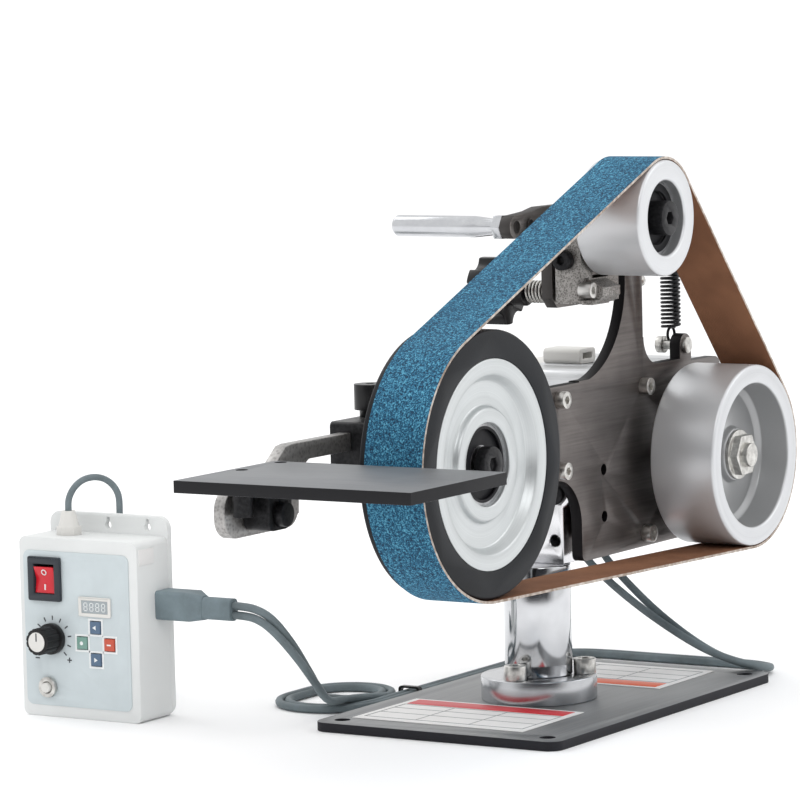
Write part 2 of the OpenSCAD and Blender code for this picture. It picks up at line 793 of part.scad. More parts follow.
module motor_cable_a() {
    color("#6c787c") tube(route_a, cable_d, [1, 0, 0]);
}

module motor_cable_b() {
    color("#6c787c") tube(route_b, cable_d, [1, 0, 0]);
}

// Plastic tie round both cables where they leave the loops
module cable_tie() {
    color("#17181a") translate([-8, 63.35, 0]) rotate([90, 0, 90]) linear_extrude(2.4) difference() {
        pad([-5.2, 0], [5.2, 5], 1.6);
        pad([-4.3, 0.05], [4.3, 4.1], 1.4);
    }
}

module mains_cable() {
    color("#5d666a") tube(mains_route, mains_d, [0, 1, 0]);
}

module mains_coil() {
    color("#5d666a") translate(concat(coil_c, 0)) rotate_extrude()
        translate([coil_in, 0]) square([coil_out - coil_in, coil_h]);
}

module mains_plug() {
    color("#3c4246") translate([coil_c[0] + 2, coil_c[1] + 8, coil_h]) {
        cube([15, 12, 7.6]);
        for (y = [3, 9])
            translate([15, y, 3.8]) rotate([0, 90, 0]) cylinder(h = 7, r = 0.9);
    }
}

// Rocker with its low half at the top and its raised half at the bottom
module rocker() {
    color("#c4202c") translate([panel_x + 2, 0, rocker_c[1]]) rotate([0, -8, 0]) {
        xz(rocker_c[0] - 4.9, rocker_c[0] + 4.9)
            polygon([[4, -3], [4, 3], [-1, 5.2], [-3, 5.5], [-2, 0], [-3.6, -5.5], [-1, -5.6]]);
        bar_y(rocker_c[0] - 5.1, rocker_c[0] + 5.1, [0, 0], 0.8);
    }
}

module speed_knob() {
    color("#1f2022") {
        bar_x(panel_x - 2.6, panel_x - 0.4, knob_yz, 6.5);
        difference() {
            bar_x(panel_x - 11, panel_x - 2.6, knob_yz, 5.6);
            for (a = [0 : 30 : 330])
                bar_x(panel_x - 11.5, panel_x - 3, knob_yz + 6 * [cos(a), sin(a)], 0.7);
        }
        bar_x(panel_x - 11.4, panel_x - 11, knob_yz, 4.2);
        bar_x(panel_x - 0.4, -104.4, knob_yz, 1.5);
    }
}

module start_button() {
    color("#d8d9da") bar_x(panel_x - 3, panel_x + 3, button_yz, 2.1);
}

module key(c) {
    yz(panel_x - 0.9, panel_x + 2) translate(c - [1, 1] * key_s / 2) square(key_s);
}

module key_up() {
    color("#5b6f86") key(key_up_yz);
}

module key_down() {
    color("#5b6f86") key(key_down_yz);
}

module key_left() {
    color("#7c9a90") key(key_left_yz);
}

module key_right() {
    color("#c4593a") key(key_right_yz);
}

base_plate();
column();
column_flange();
flange_screws();
column_head();
tilt_bolt();
box_shell();
box_back();
control_panel();
rocker_bezel();
display_frame();
start_ring();
circuit_board();
mains_gland();
cable_boot();
motor_cable_a();
motor_cable_b();
cable_tie();
mains_cable();
mains_coil();
mains_plug();
main_plate();
head_bracket();
head_screws();
motor_body();
motor_cap();
motor_terminal();
contact_arm();
contact_axle();
belt();
rest_holder();
tension_pivot();
motor_shaft();
drive_wheel();
drive_nut();
contact_hub();
contact_tyre();
contact_bearings();
tracking_roller();
tracking_bearings();
tension_lever();
pivot_block();
tension_handle();
tension_spring();
tracking_yoke();
tracking_axle();
tracking_knob();
arm_clamp_lever();
rest_arm();
rest_pivot();
rest_clamp_lever();
rest_plate();
rest_block();
rocker();
speed_knob();
start_button();
key_up();
key_down();
key_left();
key_right();
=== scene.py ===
"""Looks of a small belt grinder: finishes, cables, belt, springs, labels and prints around its CAD frame."""

import json
import math

import bmesh
import bpy
from mathutils import Matrix, Vector


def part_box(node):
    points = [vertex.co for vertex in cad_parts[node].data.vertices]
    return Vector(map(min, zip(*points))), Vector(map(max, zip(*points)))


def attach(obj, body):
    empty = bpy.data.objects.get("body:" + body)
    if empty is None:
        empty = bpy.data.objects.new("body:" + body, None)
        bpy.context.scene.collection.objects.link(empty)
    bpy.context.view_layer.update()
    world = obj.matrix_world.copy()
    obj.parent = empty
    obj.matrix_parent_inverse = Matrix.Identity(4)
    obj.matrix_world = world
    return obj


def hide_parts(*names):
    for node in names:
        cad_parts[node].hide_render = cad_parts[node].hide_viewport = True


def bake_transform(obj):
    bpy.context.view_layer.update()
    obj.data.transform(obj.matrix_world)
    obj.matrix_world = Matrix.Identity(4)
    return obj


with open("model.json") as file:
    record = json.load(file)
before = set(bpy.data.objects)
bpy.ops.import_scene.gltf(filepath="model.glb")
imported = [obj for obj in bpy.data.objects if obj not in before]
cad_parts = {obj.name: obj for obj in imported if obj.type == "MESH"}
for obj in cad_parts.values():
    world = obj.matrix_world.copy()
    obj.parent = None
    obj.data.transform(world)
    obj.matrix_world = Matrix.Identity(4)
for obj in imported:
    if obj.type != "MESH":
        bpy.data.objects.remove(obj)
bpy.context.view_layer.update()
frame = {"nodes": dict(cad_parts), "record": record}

bl_info = {
    "name": "Belt grinder",
    "version": (1, 0, 0),
    "blender": (4, 5, 0),
    "location": "View3D > Sidebar > Grinder",
    "description": "Builds the finishes and the small pieces of a belt grinder with its speed control box",
    "category": "Add Mesh",
}

MM = 0.001
BODY_OF = {node: body for body, nodes in frame["record"]["behaviour"]["bodies"].items() for node in nodes}


def mm(*point):
    """A point given in millimetres, as a vector in metres."""
    return Vector(point) * MM


def middle(node):
    """The middle of a CAD node's box."""
    low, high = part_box(node)
    return (Vector(low) + Vector(high)) / 2


def low(node):
    return Vector(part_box(node)[0])


def high(node):
    return Vector(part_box(node)[1])


# ---------------------------------------------------------------- shader maths


class Value:
    """A socket of one finish's node tree. Sums, products and comparisons of values add Math nodes."""

    def __init__(self, finish, socket):
        self.finish = finish
        self.socket = socket

    def maths(self, operation, *others, clamp=False):
        settings = {"operation": operation, "use_clamp": clamp}
        return self.finish.node("Math", settings, dict(enumerate(others)))

    def __add__(self, other):
        return self.maths("ADD", self, other)

    def __radd__(self, other):
        return self.maths("ADD", other, self)

    def __sub__(self, other):
        return self.maths("SUBTRACT", self, other)

    def __rsub__(self, other):
        return self.maths("SUBTRACT", other, self)

    def __mul__(self, other):
        return self.maths("MULTIPLY", self, other)

    def __rmul__(self, other):
        return self.maths("MULTIPLY", other, self)

    def __truediv__(self, other):
        return self.maths("DIVIDE", self, other)

    def __abs__(self):
        return self.maths("ABSOLUTE", self)

    def root(self):
        return self.maths("SQRT", self)

    def over(self, start, end):
        """0 at start and 1 at end, clamped."""
        return self.maths("DIVIDE", self - start, end - start, clamp=True)


class Finish:
    """A procedural material around one Principled shader."""

    def __init__(self, name, **constants):
        self.material = bpy.data.materials.new(name)
        self.material.use_nodes = True
        self.tree = self.material.node_tree
        self.shader = self.tree.nodes["Principled BSDF"]
        for key, value in constants.items():
            self.shader.inputs[key.replace("_", " ").title().replace("Ior", "IOR")].default_value = value
        self.coords = self.node("TexCoord", output="Object")

    def node(self, kind, settings=(), sockets=(), output=0):
        """Adds a node of that type, makes its settings, then feeds its sockets with values or links."""
        made = self.tree.nodes.new("ShaderNode" + kind)
        for key, value in dict(settings).items():
            if key == "stops":
                self.set_stops(made.color_ramp, value)
            else:
                setattr(made, key, value)
        for key, value in dict(sockets).items():
            self.feed(made.inputs[key], value)
        return Value(self, made.outputs[output])

    def set_stops(self, ramp, stops):
        while len(ramp.elements) < len(stops):
            ramp.elements.new(0.5)
        for element, (place, colour) in zip(ramp.elements, stops):
            element.position = place
            element.color = (*colour, 1) if len(colour) == 3 else colour

    def feed(self, socket, value):
        if isinstance(value, Value):
            self.tree.links.new(value.socket, socket)
        elif socket.type == "RGBA" and len(value) == 3:
            socket.default_value = (*value, 1)
        else:
            socket.default_value = value

    def set(self, **outputs):
        for key, value in outputs.items():
            self.feed(self.shader.inputs[key.replace("_", " ").title()], value)
        return self

    def stretched(self, scale, place=(0, 0, 0)):
        """Object coordinates scaled by a factor along each axis."""
        return self.node("Mapping", (), {"Vector": self.coords, "Scale": scale, "Location": place})

    def noise(self, scale, detail=4, roughness=0.5, vector=None):
        sockets = {"Vector": vector or self.coords, "Scale": scale, "Detail": detail, "Roughness": roughness}
        return self.node("TexNoise", (), sockets)

    def ramp(self, factor, *stops):
        return self.node("ValToRGB", {"stops": stops}, {"Fac": factor})

    def mix(self, factor, a, b):
        return self.node("Mix", {"data_type": "RGBA"}, {0: factor, 6: a, 7: b}, output=2)

    def bump(self, height, distance, strength=1.0):
        sockets = {"Height": height, "Distance": distance, "Strength": strength}
        return self.node("Bump", (), sockets)

    def part(self, axis):
        """One coordinate of the object's own place."""
        return self.node("SeparateXYZ", (), {0: self.coords}, output=axis)

    def radius(self, centre):
        """The distance from an axis along Y through a centre."""
        x = self.part(0) - centre[0]
        z = self.part(2) - centre[2]
        return (x * x + z * z).root()

    def facing(self, axis):
        """How far the surface faces along an axis, from 0 to 1, whichever way."""
        normal = self.node("TexCoord", output="Normal")
        return abs(self.node("SeparateXYZ", (), {0: normal}, output=axis))


# ---------------------------------------------------------------- finishes


def satin_sheet(name, light, dark, along, edge=None, edge_axis=None, rough=0.38, metal=1.0):
    """Rolled sheet steel: fine lines along an axis, faint clouds, and dark cut edges across edge_axis."""
    finish = Finish(name)
    scale = [900, 900, 900]
    scale[along] = 25
    lines = finish.noise(1, 5, 0.6, finish.stretched(tuple(scale)))
    clouds = finish.noise(28, 5, 0.6)
    tone = lines * 0.5 + clouds * 0.5
    colour = finish.ramp(tone, (0.34, dark), (0.66, light))
    roughness = rough - 0.08 + clouds * 0.16
    if edge:
        cut = 1 - finish.facing(edge_axis).over(0.55, 0.75)
        colour = finish.mix(cut, colour, edge)
        roughness = roughness + cut * 0.15
    finish.set(Base_Color=colour, Roughness=roughness, Metallic=metal)
    return finish.set(Normal=finish.bump(lines, 0.00004, 0.6)).material


def turned_metal(name, centre, light, dark, recess_shade_radius=0.0, inside=(0.035, 0.035, 0.037), metal=0.88):
    """Metal turned on a lathe around an axis along Y: fine rings, a slow change of tone, and painted recess shade
    within a radius.
    """
    finish = Finish(name)
    radius = finish.radius(centre)
    rings = finish.node("TexNoise", {"noise_dimensions": "1D"}, {"W": radius * 2600, "Scale": 1, "Detail": 3})
    wide = finish.node("TexNoise", {"noise_dimensions": "1D"}, {"W": radius * 160, "Scale": 1, "Detail": 2})
    tone = rings * 0.35 + wide * 0.65
    # Within the given radius the colour turns to the inside colour, which is painted shade of the recess and not the
    # metal's own tone.
    shade = radius.over(recess_shade_radius - 0.3 * MM, recess_shade_radius + 0.1 * MM)
    colour = finish.mix(shade, inside, finish.ramp(tone, (0.3, dark), (0.66, light)))
    finish.set(Base_Color=colour, Metallic=metal)
    finish.set(Roughness=0.34 + rings * 0.1, Normal=finish.bump(rings, 0.00001, 0.25))
    return finish.material


def sealed_bearing(name, centre, inner, outer):
    """Bearing rings of steel with a black rubber seal between two radii."""
    finish = Finish(name, specular_ior_level=0.15)
    radius = finish.radius(centre)
    seal = radius.over(inner, inner + 0.2 * MM) * (1 - radius.over(outer - 0.2 * MM, outer))
    spots = finish.noise(500, 3, 0.6)
    steel = finish.ramp(spots, (0.3, (0.30, 0.30, 0.31)), (0.7, (0.5, 0.5, 0.51)))
    finish.set(Base_Color=finish.mix(seal, steel, (0.012, 0.012, 0.014)), Metallic=1 - seal)
    return finish.set(Roughness=0.3 + seal * 0.2).material


def polished(name, colour, roughness=0.07):
    """Chrome or polished steel, with faint wiping marks."""
    finish = Finish(name)
    smudge = finish.noise(60, 6, 0.65)
    darker = tuple(0.82 * c for c in colour)
    finish.set(Base_Color=finish.ramp(smudge, (0.3, darker), (0.7, colour)), Metallic=1.0)
    return finish.set(Roughness=roughness + smudge * 0.08).material


def plated_rod(name, start):
    """Chrome beyond a place along Y, and dark steel before it."""
    finish = Finish(name)
    smudge = finish.noise(60, 6, 0.65)
    plated = finish.part(1).over(start - 0.1 * MM, start + 0.1 * MM)
    chrome = finish.ramp(smudge, (0.3, (0.5, 0.51, 0.53)), (0.7, (0.64, 0.65, 0.67)))
    finish.set(Base_Color=finish.mix(plated, (0.05, 0.047, 0.045), chrome), Metallic=1.0)
    return finish.set(Roughness=0.34 - plated * 0.2 + smudge * 0.08).material


def axle_steel(name, centre, reach):
    """Black oxide, with the screw around a centre left bright."""
    finish = Finish(name, specular_ior_level=0.2)
    spots = finish.noise(700, 4, 0.6)
    bright = 1 - finish.radius(centre).over(reach, reach + 0.1 * MM)
    black = finish.ramp(spots, (0.3, (0.008, 0.008, 0.009)), (0.75, (0.03, 0.03, 0.032)))
    finish.set(Base_Color=finish.mix(bright, black, (0.62, 0.61, 0.59)), Metallic=0.5 + bright * 0.5)
    return finish.set(Roughness=0.3 + spots * 0.16).material


def bright_steel(name):
    """Zinc-plated screws and pins."""
    finish = Finish(name)
    spots = finish.noise(420, 4, 0.6)
    colour = finish.ramp(spots, (0.3, (0.42, 0.41, 0.39)), (0.7, (0.74, 0.73, 0.70)))
    return finish.set(Base_Color=colour, Metallic=1.0, Roughness=0.24 + spots * 0.14).material


def blackened(name):
    """Black oxide on steel, with a soft sheen."""
    finish = Finish(name, specular_ior_level=0.2)
    spots = finish.noise(700, 4, 0.6)
    colour = finish.ramp(spots, (0.3, (0.008, 0.008, 0.009)), (0.75, (0.03, 0.03, 0.032)))
    finish.set(Base_Color=colour, Metallic=0.5, Roughness=0.3 + spots * 0.16)
    return finish.set(Normal=finish.bump(spots, 0.00003, 0.5)).material


def speckled(name, light, dark, grain=620, rough=0.5, metal=0.75):
    """Cast or hammered metal: pale grains with dark pits between them."""
    finish = Finish(name)
    cells = finish.node("TexVoronoi", {"feature": "F1"}, {"Vector": finish.coords, "Scale": grain})
    fine = finish.noise(grain * 1.7, 4, 0.7)
    tone = cells * 0.55 + fine * 0.6
    colour = finish.ramp(tone, (0.36, dark), (0.5, tuple((a + b) / 2 for a, b in zip(light, dark))), (0.68, light))
    finish.set(Base_Color=colour, Metallic=metal, Roughness=rough - 0.1 + fine * 0.2)
    return finish.set(Normal=finish.bump(tone, 0.0001, 0.7)).material


def rubber(name, colour, rough=0.5):
    """Smooth rubber with the faint bloom and scuffs of use."""
    finish = Finish(name, specular_ior_level=0.2)
    clouds = finish.noise(45, 6, 0.6)
    grain = finish.noise(1500, 2, 0.5)
    dull = tuple(c * 1.9 + 0.004 for c in colour)
    finish.set(Base_Color=finish.ramp(clouds, (0.35, colour), (0.8, dull)), Roughness=rough - 0.06 + clouds * 0.16)
    return finish.set(Normal=finish.bump(grain, 0.00004, 0.5)).material


def moulded(name, colour, rough=0.45, grain=1400, depth=0.00004, shine=0.45):
    """Moulded plastic with a fine spark-eroded texture."""
    finish = Finish(name, specular_ior_level=shine)
    pits = finish.noise(grain, 3, 0.6)
    clouds = finish.noise(18, 4, 0.5)
    darker = tuple(c * 0.9 for c in colour)
    finish.set(Base_Color=finish.ramp(clouds, (0.3, darker), (0.7, colour)), Roughness=rough - 0.05 + pits * 0.1)
    return finish.set(Normal=finish.bump(pits, depth, 0.6)).material


def printed(name, colour, rough=0.5):
    """Ink or film on a label: nearly even, with slight mottling."""
    finish = Finish(name, specular_ior_level=0.4)
    clouds = finish.noise(90, 4, 0.5)
    darker = tuple(c * 0.93 for c in colour)
    return finish.set(
        Base_Color=finish.ramp(clouds, (0.3, darker), (0.7, colour)), Roughness=rough - 0.04 + clouds * 0.08
    ).material


def abrasive_grain(name, dark, middle_tone, light):
    """Blue zirconia grain on the outside of the belt."""
    finish = Finish(name, specular_ior_level=0.35)
    grain = finish.noise(1500, 2, 0.8)
    coarse = finish.noise(640, 2, 0.6)
    patches = finish.noise(22, 3, 0.5)
    tone = grain * 0.66 + coarse * 0.24 + patches * 0.1
    colour = finish.ramp(tone, (0.42, dark), (0.515, middle_tone), (0.62, light))
    finish.set(Base_Color=colour, Roughness=0.78)
    return finish.set(Normal=finish.bump(tone, 0.0004, 0.9)).material


def belt_cloth(name, light, dark):
    """Woven cotton back of the belt, brown with resin."""
    finish = Finish(name, specular_ior_level=0.25)
    weave = finish.node("TexWave", {"bands_direction": "Y"}, {"Vector": finish.coords, "Scale": 420, "Distortion": 3})
    clouds = finish.noise(60, 5, 0.6)
    tone = weave * 0.3 + clouds * 0.7
    finish.set(Base_Color=finish.ramp(tone, (0.3, dark), (0.7, light)), Roughness=0.85)
    return finish.set(Normal=finish.bump(weave, 0.00008, 0.6)).material


def make_finishes(look):
    """Every finish of the grinder by name."""
    contact, drive, tracking = middle("contact_tyre"), middle("drive_wheel"), middle("tracking_roller")
    return {
        "base sheet": satin_sheet(
            "base_sheet", (0.31, 0.315, 0.32), (0.225, 0.23, 0.235), 0, (0.03, 0.03, 0.035), 2, 0.46, 0.8
        ),
        "rest sheet": satin_sheet(
            "rest_sheet", (0.25, 0.257, 0.268), (0.175, 0.182, 0.192), 1, (0.016, 0.016, 0.018), 2, 0.5, 0.55
        ),
        "arm sheet": satin_sheet("arm_sheet", (0.50, 0.50, 0.50), (0.30, 0.30, 0.31), 0, (0.06, 0.06, 0.06), 1),
        "dark sheet": satin_sheet(
            "dark_sheet", (0.20, 0.183, 0.176), (0.11, 0.1, 0.096), 0, (0.016, 0.015, 0.016), 1, 0.4, 0.95
        ),
        "lever sheet": satin_sheet(
            "lever_sheet", (0.26, 0.245, 0.235), (0.13, 0.12, 0.113), 0, (0.085, 0.08, 0.078), 1, 0.42
        ),
        "chrome": polished("chrome", (0.66, 0.67, 0.69)),
        "flange steel": polished("flange_steel", (0.58, 0.59, 0.61), 0.2),
        "head steel": polished("head_steel", (0.80, 0.80, 0.82), 0.16),
        "contact metal": turned_metal("contact_metal", contact, (0.62, 0.645, 0.65), (0.49, 0.51, 0.515)),
        # Drive wheel: the grey inside 30.6 mm is painted shade of its recessed face.
        "drive metal": turned_metal(
            "drive_metal", drive, (0.66, 0.67, 0.685), (0.56, 0.57, 0.585), 30.6 * MM, (0.38, 0.385, 0.39), 0.6
        ),
        # Tracking roller: the near-black inside 15.3 mm is painted shade of its recess.
        "tracking metal": turned_metal(
            "tracking_metal", tracking, (0.70, 0.71, 0.725), (0.6, 0.61, 0.625), 15.3 * MM, metal=0.6
        ),
        "contact seal": sealed_bearing("contact_seal", contact, 7.2 * MM, 14.8 * MM),
        "tracking seal": sealed_bearing("tracking_seal", tracking, 5.6 * MM, 14.2 * MM),
        "handle chrome": plated_rod("handle_chrome", -5.6 * MM),
        "axle black": axle_steel("axle_black", (-6.3 * MM, 0, 173.6 * MM), 3.35 * MM),
        "screw steel": bright_steel("screw_steel"),
        "black steel": blackened("black_steel"),
        "cast grey": speckled("cast_grey", (0.36, 0.345, 0.33), (0.10, 0.094, 0.088), 1350),
        "hammered": speckled("hammered_steel", (0.44, 0.43, 0.42), (0.27, 0.262, 0.255), 700, 0.42, 0.9),
        "tyre": rubber("tyre_rubber", (0.004, 0.005, 0.007), 0.45),
        "cable": rubber("cable_sheath", tuple(look.cable_colour), 0.5),
        "boot": rubber("boot_rubber", (0.13, 0.165, 0.18), 0.55),
        "motor metal": satin_sheet("motor_metal", (0.74, 0.75, 0.76), (0.52, 0.53, 0.54), 1, rough=0.36),
        "white plastic": moulded("white_plastic", (0.72, 0.71, 0.68)),
        "box plastic": moulded("box_plastic", tuple(look.box_colour), 0.5),
        "panel film": printed("panel_film", tuple(look.panel_colour), 0.42),
        "black plastic": moulded("black_plastic", (0.009, 0.009, 0.010), 0.3, shine=0.3),
        "dark bezel": moulded("dark_bezel", (0.03, 0.036, 0.045), 0.35, shine=0.3),
        "red plastic": moulded("red_plastic", (0.62, 0.012, 0.025), 0.25, 900, 0.00001),
        "blue key": moulded("blue_key", (0.095, 0.155, 0.24)),
        "green key": moulded("green_key", (0.19, 0.34, 0.29)),
        "red key": moulded("red_key", (0.55, 0.09, 0.05)),
        "board": printed("board_green", (0.03, 0.16, 0.08)),
        "white ink": printed("white_ink", (0.80, 0.82, 0.82)),
        "dark ink": printed("dark_ink", (0.05, 0.055, 0.06)),
        "grey ink": printed("grey_ink", (0.32, 0.33, 0.34)),
        "label paper": printed("label_paper", (0.80, 0.79, 0.78), 0.45),
        "red band": printed("red_band", (0.60, 0.02, 0.03), 0.4),
        "orange band": printed("orange_band", (0.72, 0.10, 0.02), 0.4),
        "green strip": printed("green_strip", (0.03, 0.35, 0.14), 0.4),
        "lcd": printed("lcd_window", (0.36, 0.40, 0.42), 0.15),
        "grain": abrasive_grain(
            "abrasive_grain", tuple(look.grain_dark), tuple(look.grain_middle), tuple(look.grain_light)
        ),
        "belt back": belt_cloth("belt_back", (0.27, 0.125, 0.066), (0.165, 0.072, 0.037)),
        "belt edge": belt_cloth("belt_edge", (0.62, 0.57, 0.52), (0.26, 0.2, 0.16)),
    }


FINISHES = {}

# CAD node, its finish and the bevel on its edges in millimetres
CAD_FINISHES = {
    "base_plate": ("base sheet", 0.5),
    "column": ("chrome", 0.5),
    "column_flange": ("flange steel", 0.7),
    "flange_screws": ("screw steel", 0.4),
    "column_head": ("head steel", 0.6),
    "tilt_bolt": ("black steel", 0.3),
    "box_shell": ("box plastic", 0.5),
    "box_back": ("box plastic", 0.4),
    "control_panel": ("panel film", 0.1),
    "rocker_bezel": ("dark bezel", 0.3),
    "display_frame": ("white plastic", 0.2),
    "start_ring": ("screw steel", 0.3),
    "circuit_board": ("board", 0),
    "mains_gland": ("white plastic", 0.4),
    "cable_boot": ("boot", 0.6),
    "cable_tie": ("black plastic", 0),
    "main_plate": ("dark sheet", 0.25),
    "head_bracket": ("arm sheet", 0.4),
    "head_screws": ("screw steel", 0.35),
    "motor_body": ("motor metal", 0.25),
    "motor_cap": ("white plastic", 0.8),
    "motor_terminal": ("white plastic", 0.3),
    "contact_arm": ("arm sheet", 0.4),
    "contact_axle": ("black steel", 0.5),
    "rest_holder": ("black steel", 0.5),
    "tension_pivot": ("black steel", 0.4),
    "motor_shaft": ("screw steel", 0.4),
    "drive_wheel": ("drive metal", 0.5),
    "drive_nut": ("screw steel", 0.3),
    "contact_hub": ("contact metal", 0.6),
    "contact_tyre": ("tyre", 0.5),
    "contact_bearings": ("contact seal", 0.2),
    "tracking_roller": ("tracking metal", 0.4),
    "tracking_bearings": ("tracking seal", 0.2),
    "tension_lever": ("lever sheet", 0.35),
    "pivot_block": ("lever sheet", 0.5),
    "tension_handle": ("handle chrome", 0.4),
    "tracking_yoke": ("cast grey", 0.5),
    "tracking_axle": ("axle black", 0.4),
    "tracking_knob": ("black plastic", 1.0),
    "arm_clamp_lever": ("black plastic", 0.5),
    "rest_arm": ("hammered", 0.4),
    "rest_pivot": ("black steel", 0.3),
    "rest_clamp_lever": ("black plastic", 0.5),
    "rest_plate": ("rest sheet", 0.4),
    "rest_block": ("black steel", 0.4),
    "rocker": ("red plastic", 0.5),
    "speed_knob": ("black plastic", 0.25),
    "start_button": ("white plastic", 0.4),
    "key_up": ("blue key", 0.35),
    "key_down": ("blue key", 0.35),
    "key_left": ("green key", 0.35),
    "key_right": ("red key", 0.35),
}


# ---------------------------------------------------------------- modelling


def alone(obj=None):
    """Deselects everything, then selects and activates one object."""
    bpy.ops.object.select_all(action="DESELECT")
    if obj:
        obj.select_set(True)
        bpy.context.view_layer.objects.active = obj
    return obj


def named(name):
    """The object just made, named together with its mesh."""
    piece = bpy.context.active_object
    piece.name = name
    piece.data.name = name
    return piece


def pick_faces(piece, test):
    """Selects, in edit mode, the faces whose centre and normal pass the test."""
    bpy.ops.mesh.select_all(action="DESELECT")
    mesh = bmesh.from_edit_mesh(piece.data)
    for face in mesh.faces:
        face.select_set(bool(test(face.calc_center_median(), face.normal)))
    bmesh.update_edit_mesh(piece.data)


def broken_edges(piece, width, segments=2, angle=35):
    """Breaks the sharp edges with a small bevel and smooths what is left."""
    alone(piece)
    if width:
        bevel = piece.modifiers.new("edges", "BEVEL")
        bevel.width = width
        bevel.segments = segments
        bevel.limit_method = "ANGLE"
        bevel.angle_limit = math.radians(angle)
        bevel.harden_normals = False
        bpy.ops.object.modifier_apply(modifier=bevel.name)
    bpy.ops.object.shade_smooth_by_angle(angle=math.radians(angle))
    return piece


def placed(piece):
    """Moves the object's place, turn and scale into its mesh."""
    alone(piece)
    bpy.ops.object.transform_apply(location=True, rotation=True, scale=True)
    return piece


def handed_over(piece, body, finish):
    """Gives a finished piece its finish and its body."""
    placed(piece)
    piece.data.materials.clear()
    piece.data.materials.append(FINISHES[finish])
    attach(piece, body)
    return piece


def cad_copy(node, name, bevel):
    """A copy of a CAD solid: doubles merged, flat faces joined, edges broken."""
    source = frame["nodes"][node]
    piece = bpy.data.objects.new(name, source.data.copy())
    bpy.context.collection.objects.link(piece)
    alone(piece)
    bpy.ops.object.mode_set(mode="EDIT")
    bpy.ops.mesh.select_all(action="SELECT")
    bpy.ops.mesh.remove_doubles(threshold=0.002 * MM)
    bpy.ops.mesh.dissolve_limited(angle_limit=math.radians(0.6))
    bpy.ops.object.mode_set(mode="OBJECT")
    return broken_edges(piece, bevel * MM)


def bar(name, centre, size, bevel=0.15, segments=2):
    """A block with broken edges, from its centre and its three sides in millimetres."""
    alone()
    bpy.ops.mesh.primitive_cube_add(size=1, location=centre)
    piece = named(name)
    piece.scale = Vector(size) * MM
    placed(piece)
    return broken_edges(piece, bevel * MM, segments)


def rod(name, centre, radius, length, axis, sides=32, bevel=0.15):
    """A round bar with broken ends along an axis, in millimetres."""
    turn = {"X": (0, math.pi / 2, 0), "Y": (math.pi / 2, 0, 0), "Z": (0, 0, 0)}[axis]
    alone()
    bpy.ops.mesh.primitive_cylinder_add(
        vertices=sides, radius=radius * MM, depth=length * MM, location=centre, rotation=turn
    )
    return broken_edges(placed(named(name)), bevel * MM)


def ring(name, centre, radius, wire, axis, lean=0.0):
    """A wire ring around an axis, in millimetres, leaning by an angle about Y."""
    turn = {"X": (0, math.pi / 2, 0), "Y": (math.pi / 2, 0, 0), "Z": (0, 0, 0)}[axis]
    alone()
    bpy.ops.mesh.primitive_torus_add(
        major_radius=radius * MM,
        minor_radius=wire * MM,
        major_segments=40,
        minor_segments=10,
        location=centre,
        rotation=(turn[0], turn[1] - lean, turn[2]),
    )
    piece = placed(named(name))
    bpy.ops.object.shade_smooth()
    return piece


def sheet_frame(name, centre, size, rim, depth):
    """A flat rectangular frame that faces -X, made by insetting a plane: centre in metres, sizes in mm."""
    alone()
    bpy.ops.mesh.primitive_plane_add(size=1, location=centre, rotation=(0, -math.pi / 2, 0))
    piece = named(name)
    piece.scale = (size[1] * MM, size[0] * MM, 1)
    placed(piece)
    bpy.ops.object.mode_set(mode="EDIT")
    bpy.ops.mesh.select_all(action="SELECT")
    bpy.ops.mesh.inset(thickness=rim * MM)
    bpy.ops.mesh.delete(type="FACE")
    bpy.ops.object.mode_set(mode="OBJECT")
    wall = piece.modifiers.new("wall", "SOLIDIFY")
    wall.thickness = depth * MM
    wall.offset = 0
    alone(piece)
    bpy.ops.object.modifier_apply(modifier=wall.name)
    return piece


def joined(name, pieces):
    """Several pieces as one mesh."""
    alone(pieces[0])
    for piece in pieces[1:]:
        piece.select_set(True)
    bpy.ops.object.join()
    return named(name)


def coil_spring(name, base, radius, wire, pitch, turns, axis="Z"):
    """Close-wound wire: a small circle screwed round an axis."""
    alone()
    bpy.ops.mesh.primitive_circle_add(
        vertices=8, radius=wire * MM, location=(radius * MM, 0, 0), rotation=(math.pi / 2, 0, 0)
    )
    piece = placed(named(name))
    screw = piece.modifiers.new("winding", "SCREW")
    screw.axis = "Z"
    screw.angle = math.tau
    screw.screw_offset = pitch * MM
    screw.iterations = turns
    screw.steps = 20
    screw.render_steps = 20
    screw.use_merge_vertices = True
    screw.merge_threshold = 0.01 * MM
    bpy.ops.object.modifier_apply(modifier=screw.name)
    bpy.ops.object.mode_set(mode="EDIT")
    bpy.ops.mesh.select_all(action="SELECT")
    bpy.ops.mesh.remove_doubles(threshold=0.01 * MM)
    bpy.ops.mesh.fill_holes(sides=12)
    bpy.ops.mesh.normals_make_consistent(inside=False)
    bpy.ops.object.mode_set(mode="OBJECT")
    piece.rotation_euler = {"Z": (0, 0, 0), "Y": (-math.pi / 2, 0, 0)}[axis]
    piece.location = base
    placed(piece)
    bpy.ops.object.shade_smooth_by_angle(angle=math.radians(50))
    return piece


# ---------------------------------------------------------------- cables

